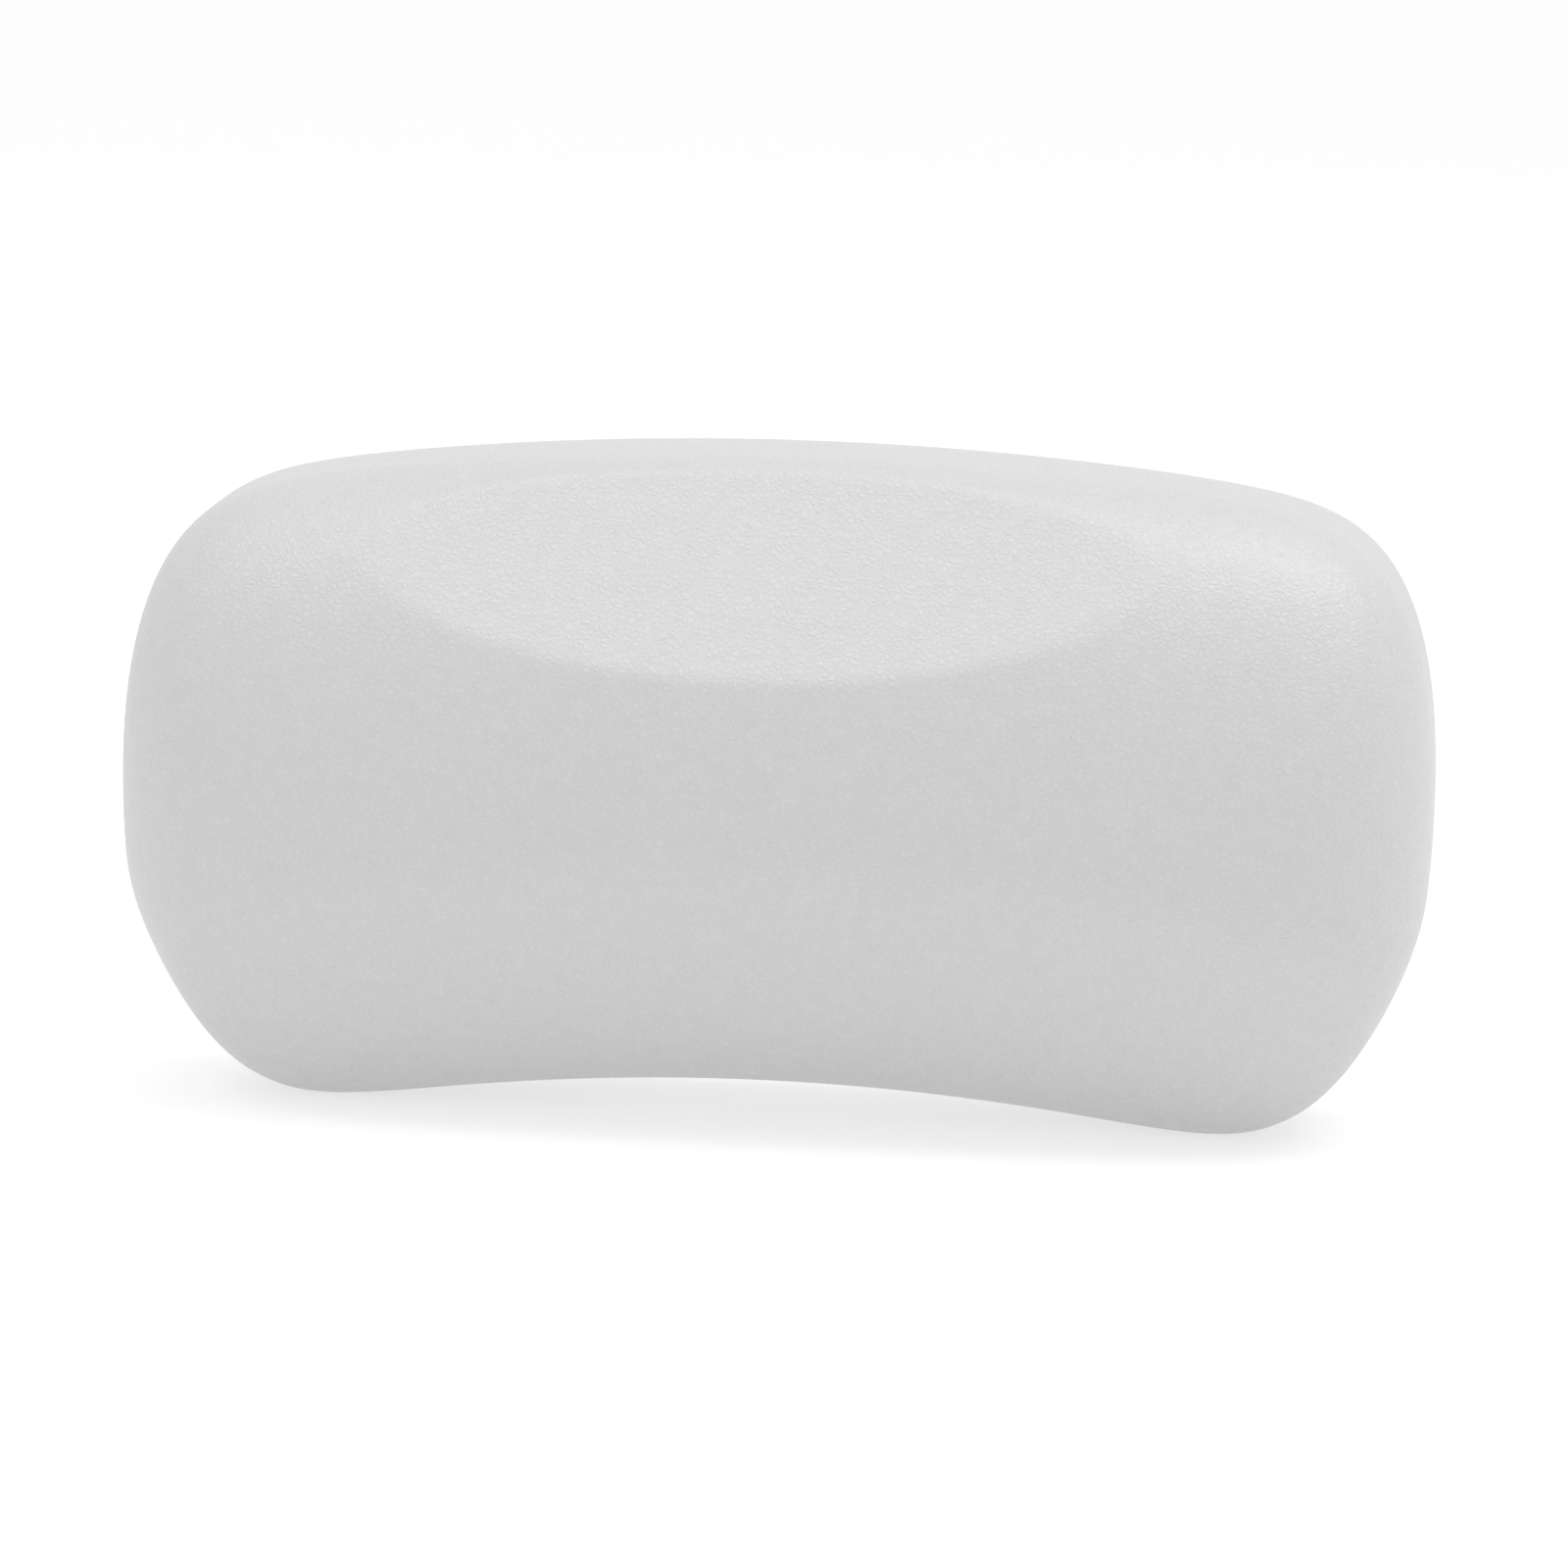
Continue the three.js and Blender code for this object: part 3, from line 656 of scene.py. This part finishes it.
# Suction cups
def cup_profile():
    """Half a cup's section, from the floor of its socket over the bell and the rim to the hollow's middle."""
    socket_floor = -CUP_HOLLOW - CUP_WEB
    socket_mouth = socket_floor - HEAD_THICKNESS - 2 * END_PLAY
    neck_end = socket_mouth - THROAT_LIP
    inner_rim = CUP_RADIUS - CUP_RIM_WIDTH
    shoulder = inner_rim * BELL_SHOULDER_SHARE
    throat = STUD_NECK_RADIUS + END_PLAY
    socket = HEAD_RADIUS + END_PLAY
    return [
        (0, socket_floor),
        (socket, socket_floor),
        (socket, socket_mouth),
        (throat, socket_mouth),
        (throat, neck_end),
        (NECK_RADIUS - EDGE_ROUND, neck_end),
        (NECK_RADIUS, neck_end + EDGE_ROUND),
        *neck_fillet(socket_mouth),
        *curve((NECK_RADIUS + NECK_FILLET, socket_mouth), (shoulder, socket_mouth), (CUP_RADIUS, -CUP_LIP)),
        (CUP_RADIUS, -EDGE_ROUND),
        (CUP_RADIUS - EDGE_ROUND, 0),
        *ridged(curve((inner_rim, 0), (shoulder, -CUP_HOLLOW), (0, -CUP_HOLLOW)), inner_rim),
    ]


def neck_fillet(mouth):
    """The round corner between a cup's neck and its bell."""
    points = []
    for step in range(ARC_STEPS):
        angle = math.pi / 2 * step / ARC_STEPS
        radius = NECK_RADIUS + NECK_FILLET * (1 - math.cos(angle))
        points.append((radius, mouth - NECK_FILLET * (1 - math.sin(angle))))
    return points


def ridged(points, reach):
    """A curve with fine sealing ridges where it comes near the rim."""
    fine = []
    for (r0, y0), (r1, y1) in zip(points, points[1:]):
        for step in range(RIDGE_STEPS):
            share = step / RIDGE_STEPS
            fine.append((r0 + (r1 - r0) * share, y0 + (y1 - y0) * share))
    fine.append(points[-1])
    made = []
    for radius, y in fine:
        rise = sum(math.exp(-(((radius - s * reach) / (RIDGE_WIDTH / 2)) ** 2)) for s in RIDGE_SHARES)
        made.append((radius, y + RIDGE_HEIGHT * rise))
    return made


def tab_mesh():
    """The plain tab, from inside the rim to its round end."""
    half = TAB_WIDTH / 2
    end = -(CUP_RADIUS + TAB_REACH - half)
    start = -(CUP_RADIUS - CUP_RIM_WIDTH / 2)
    outline = [(half, start), (-half, start)]
    for step in range(STADIUM_STEPS + 1):
        angle = math.pi + math.pi * step / STADIUM_STEPS
        outline.append((half * math.cos(angle), end + half * math.sin(angle)))
    return prism("tab", outline, -CLEARANCE, -CLEARANCE - TAB_THICKNESS)


def tab_bar(share):
    """A small round bar across the tab, for the finger. It is shorter where the tab's round end narrows."""
    z = -(CUP_RADIUS + TAB_REACH * share)
    past = max(0, share - TAB_TAPER_SHARE) / (1 - TAB_TAPER_SHARE)
    half = TAB_WIDTH / 2 * math.sqrt(1 - past**2) - TAB_BAR_WIDTH
    rear = -CLEARANCE - TAB_THICKNESS + TAB_BAR_HEIGHT
    low = Vector((-half, 0, z - TAB_BAR_WIDTH / 2))
    high = Vector((half, 0, z + TAB_BAR_WIDTH / 2))
    outline = rounded_rectangle(low, high, TAB_BAR_WIDTH / 2 * TAB_BAR_ROUND_SHARE)
    return prism("bar", outline, rear, rear - 2 * TAB_BAR_HEIGHT)


def barred_tab():
    """The tab's mesh, with its bars and with small round edges."""
    tab = new_object("tab", tab_mesh())
    for share in TAB_BAR_SHARES:
        with_boolean(tab, tab_bar(share), "UNION")
    bevel = tab.modifiers.new("bevel", "BEVEL")
    bevel.width = TAB_ROUND
    bevel.segments = TAB_ROUND_STEPS
    bevel.limit_method = "ANGLE"
    apply_modifiers(tab)
    mesh = tab.data
    bpy.data.objects.remove(tab)
    return mesh


def suction_cup(side, x, material):
    made = add_object(f"suction_cup_{side}_clear", lathe("cup", cup_profile()), material)
    with_boolean(made, barred_tab(), "UNION")
    sharpen(made, TURNED_SHARP_DEGREES)
    made.location.x = x
    fit(made, f"cup_{side}", "cup", f"suction_cup_{side}")


# Studs
def stud(side, x, material):
    """A turned stud: its head sits in the cup's socket and its foot slides behind the keyhole."""
    head_rear = -CUP_HOLLOW - CUP_WEB - END_PLAY
    head_front = head_rear - HEAD_THICKNESS
    collar_rear = head_front - END_PLAY - THROAT_LIP - END_PLAY
    collar_front = collar_rear - COLLAR_THICKNESS
    foot_rear = BOARD_LOW.y - END_PLAY
    foot_front = foot_rear - FOOT_THICKNESS
    profile = [
        (0, foot_front),
        (FOOT_RADIUS, foot_front),
        (FOOT_RADIUS, foot_rear),
        (SHAFT_RADIUS, foot_rear),
        (SHAFT_RADIUS, collar_front),
        (COLLAR_RADIUS, collar_front),
        (COLLAR_RADIUS, collar_rear),
        (STUD_NECK_RADIUS, collar_rear),
        (STUD_NECK_RADIUS, head_front),
        (HEAD_RADIUS, head_front),
        (HEAD_RADIUS, head_rear),
        (0, head_rear),
    ]
    made = add_object(f"stud_{side}_turned", lathe("stud", rounded(profile, EDGE_ROUND)), material)
    sharpen(made, TURNED_SHARP_DEGREES)
    made.location.x = x
    fit(made, f"stud_{side}", "stud", f"stud_{side}")


# Parts of materials
def new_material(name, color, roughness, **sockets):
    """A material with its shader's even values set on the shader itself."""
    made = bpy.data.materials.new(name)
    made.use_nodes = True
    shader = made.node_tree.nodes["Principled BSDF"]
    shader.inputs["Base Color"].default_value = (*color, 1)
    shader.inputs["Roughness"].default_value = roughness
    for socket, value in sockets.items():
        shader.inputs[socket.replace("_", " ")].default_value = value
    return made, shader


def add_node(made, kind, **settings):
    """A node with its inputs and properties set, and links made where a setting is another node's output."""
    node = made.node_tree.nodes.new(kind)
    for name, value in settings.items():
        if hasattr(node, name) and name not in node.inputs:
            setattr(node, name, value)
    for name, value in settings.items():
        socket = node.inputs.get(name.replace("_", " "))
        if socket is None:
            continue
        if isinstance(value, bpy.types.NodeSocket):
            made.node_tree.links.new(value, socket)
        else:
            socket.default_value = value
    return node


def surface_place(made):
    nodes = made.node_tree.nodes
    place = nodes.get("Texture Coordinate") or nodes.new("ShaderNodeTexCoord")
    return place.outputs["Object"]


def noise_node(made, size, detail):
    return add_node(made, "ShaderNodeTexNoise", Scale=1 / size, Detail=detail, Vector=surface_place(made))


def noise(made, size, detail=NOISE_DETAIL):
    """Soft noise whose lumps measure about size."""
    return noise_node(made, size, detail).outputs["Fac"]


def warped_place(made, size, shift):
    """Coordinates pushed about by noise, so that a pattern in them loses its regular look."""
    lumps = noise_node(made, size, NOISE_DETAIL).outputs["Color"]
    push = add_node(made, "ShaderNodeVectorMath", operation="SCALE", Vector=lumps, Scale=shift)
    moved = add_node(made, "ShaderNodeVectorMath", operation="ADD", Vector=surface_place(made))
    made.node_tree.links.new(push.outputs["Vector"], moved.inputs[1])
    return moved.outputs["Vector"]


def pebbles(made, place, size, smoothness):
    """Rounded cells about size across: 0 in a cell's middle and more towards its edge."""
    node = add_node(made, "ShaderNodeTexVoronoi", feature="SMOOTH_F1", Scale=1 / size, Vector=place)
    node.inputs["Smoothness"].default_value = smoothness
    return node.outputs["Distance"]


def cells(made, place, size):
    """Flat cells about size across: 1 on a cell and 0 in the creases between cells."""
    node = add_node(made, "ShaderNodeTexVoronoi", feature="DISTANCE_TO_EDGE", Scale=1 / size, Vector=place)
    return soft_step(made, node.outputs["Distance"], 0, CREASE_SHARE)


def soft_step(made, value, start, end):
    """0 where a value is below the start, 1 where it is above the end, and soft in between."""
    node = add_node(made, "ShaderNodeMapRange", interpolation_type="SMOOTHSTEP", Value=value)
    node.inputs["From Min"].default_value = start
    node.inputs["From Max"].default_value = end
    return node.outputs["Result"]


def between(made, share, low, high):
    """low where the share is 0 and high where it is 1."""
    return add_node(made, "ShaderNodeMix", data_type="FLOAT", Factor=share, A=low, B=high).outputs["Result"]


def shine(made, size, low, high):
    """Roughness that varies in patches about size across."""
    patches = noise(made, size)
    return add_node(made, "ShaderNodeMapRange", Value=patches, To_Min=low, To_Max=high).outputs["Result"]


def bump(made, height, depth, strength, below=None):
    node = add_node(made, "ShaderNodeBump", Height=height, Distance=depth, Strength=strength)
    if below is not None:
        made.node_tree.links.new(below, node.inputs["Normal"])
    return node.outputs["Normal"]


def lumps_of(made, size, depth, strength, detail=NOISE_DETAIL):
    """The surface's direction where soft lumps about size across make it uneven."""
    return bump(made, noise(made, size, detail), depth, strength)


def tone(made, shader, value, low, high):
    """Colours the shader with low where a value is 0 and with high where it is 1."""
    mix = add_node(made, "ShaderNodeMix", data_type="RGBA", Factor=value, A=(*low, 1), B=(*high, 1))
    made.node_tree.links.new(mix.outputs["Result"], shader.inputs["Base Color"])


def finish(made, shader, normal, roughness=None):
    made.node_tree.links.new(normal, shader.inputs["Normal"])
    if roughness is not None:
        made.node_tree.links.new(roughness, shader.inputs["Roughness"])
    return made


# Materials
def grained_skin():
    """Moulded polyurethane skin with a leather grain: low cells, creases between them and finer creases. Its
    colour is painted darker in the creases as painted shade, mixed with random blotches.
    """
    look = FINISHES["grained_skin"]
    made, shader = new_material("grained_skin", **look["base"])
    grain = cells(made, warped_place(made, **look["warp"]), GRAIN)
    fine = cells(made, warped_place(made, **look["fine_warp"]), GRAIN * FINE_GRAIN_SHARE)
    swell = lumps_of(made, **look["swell"])
    creases = bump(made, fine, below=swell, **look["fine_texture"])
    normal = bump(made, grain, below=creases, **look["texture"])
    blotches = soft_step(made, noise(made, **look["blotches"]), **look["blotch_step"])
    # Painted shade: the colour follows the grain and is darker in its creases, mixed with random blotches of
    # tone
    tone(made, shader, between(made, look["blotch_share_over_crease_shade"], grain, blotches), **look["tones"])
    return finish(made, shader, normal, shine(made, **look["shine"]))


def smooth_skin():
    """The back's skin: the same plastic with a finer and flatter grain."""
    look = FINISHES["smooth_skin"]
    made, shader = new_material("smooth_skin", **look["base"])
    grain = pebbles(made, warped_place(made, **look["warp"]), **look["cells"])
    swell = lumps_of(made, **look["swell"])
    normal = bump(made, grain, below=swell, **look["texture"])
    tone(made, shader, noise(made, **look["blotches"]), **look["tones"])
    return finish(made, shader, normal, shine(made, **look["shine"]))


def open_foam():
    """Cream polyurethane foam with open cells, darker towards their edges."""
    look = FINISHES["open_foam"]
    made, shader = new_material("open_foam", **look["base"])
    grain = pebbles(made, warped_place(made, **look["warp"]), **look["cells"])
    tone(made, shader, grain, **look["tones"])
    return finish(made, shader, bump(made, grain, **look["texture"]))


def even_material(name):
    """A plastic or a metal without a grain: slightly uneven, with faint blotches and patches of shine."""
    look = FINISHES[name]
    made, shader = new_material(name, **look["base"])
    tone(made, shader, noise(made, **look["blotches"]), **look["tones"])
    return finish(made, shader, lumps_of(made, **look["texture"]), shine(made, **look["shine"]))


# Stage, camera and lights
def stage_profile():
    """Radius and z of the stage, from the floor's edge up to the top of the wall."""
    profile = [(STAGE_FLAT, FLOOR_Z)]
    for step in range(1, STAGE_ARC_STEPS + 1):
        angle = math.pi / 2 * step / STAGE_ARC_STEPS
        radius = STAGE_FLAT + STAGE_CURVE * math.sin(angle)
        profile.append((radius, FLOOR_Z + STAGE_CURVE * (1 - math.cos(angle))))
    profile.append((STAGE_FLAT + STAGE_CURVE, FLOOR_Z + STAGE_CURVE + STAGE_WALL))
    return profile


def make_stage():
    turn = np.linspace(0, 2 * math.pi, STAGE_STEPS, endpoint=False)
    profile = stage_profile()
    points = [(0, 0, FLOOR_Z)]
    for radius, z in profile:
        points += [(radius * math.cos(t), radius * math.sin(t), z) for t in turn]
    faces = [(0, 1 + step, 1 + (step + 1) % STAGE_STEPS) for step in range(STAGE_STEPS)]
    for ring in range(len(profile) - 1):
        low = 1 + ring * STAGE_STEPS
        high = low + STAGE_STEPS
        for step in range(STAGE_STEPS):
            aside = (step + 1) % STAGE_STEPS
            faces.append((low + step, high + step, high + aside, low + aside))
    mesh = mesh_of("studio_floor", points, faces)
    add_object("studio_floor", mesh, stage_material())


def stage_material():
    """A pale screen lit through from behind, so that no hard shadow lies under the pillow."""
    glow = {"Emission_Color": WHITE, "Emission_Strength": STAGE_GLOW}
    return new_material("studio_floor", STAGE_COLOR, STAGE_ROUGHNESS, **glow)[0]


def direction(yaw, rise):
    """From the pillow towards a place at one angle to the right of its front and another above it."""
    return Vector((math.sin(yaw) * math.cos(rise), -math.cos(yaw) * math.cos(rise), math.sin(rise)))


def make_camera():
    back = direction(CAMERA_YAW, CAMERA_RISE)
    data = bpy.data.cameras.new("camera")
    data.sensor_width = SENSOR_MM
    data.lens = SENSOR_MM * CAMERA_DISTANCE / FRAME_WIDTH
    camera = new_object("camera", data)
    camera.location = MIDDLE + AIM + back * CAMERA_DISTANCE
    camera.rotation_mode = "QUATERNION"
    camera.rotation_quaternion = Quaternion(back, CAMERA_ROLL) @ (-back).to_track_quat("-Z", "Y")
    bpy.context.scene.camera = camera


def make_lights():
    for name, light in LIGHTS.items():
        data = bpy.data.lights.new(name, "AREA")
        data.shape = "SQUARE"
        data.size = light["size"]
        data.energy = light["power"]
        lamp = new_object(name, data)
        towards = direction(math.radians(light["yaw"]), math.radians(light["rise"]))
        lamp.location = MIDDLE + towards * LIGHT_DISTANCE
        lamp.rotation_mode = "QUATERNION"
        lamp.rotation_quaternion = (-towards).to_track_quat("-Z", "Y")
        lamp.visible_camera = False


def make_world():
    world = bpy.data.worlds.new("studio")
    world.use_nodes = True
    background = world.node_tree.nodes["Background"]
    background.inputs["Color"].default_value = WHITE
    background.inputs["Strength"].default_value = WORLD_STRENGTH
    bpy.context.scene.world = world
    bpy.context.scene.view_settings.view_transform = "Standard"


make_camera()
make_stage()
make_lights()
make_world()
front_skin(grained_skin())
smooth = smooth_skin()
back_skin(smooth)
foam_core(open_foam())
clear = even_material("clear_pvc")
acetal = even_material("acetal")
cap_plastic = even_material("cap_plastic")
steel = even_material("zinc_steel")
dress("carrier_board", even_material("board_plastic"))
for side_name, side_x in SIDES.items():
    opening_lip(side_name, side_x, smooth)
    suction_cup(side_name, side_x, clear)
    stud(side_name, side_x, acetal)
    dress(f"pocket_cap_{side_name}", cap_plastic)
    for number in range(1, SCREWS_PER_CAP + 1):
        dress(f"cap_screw_{side_name}_{number}", steel)
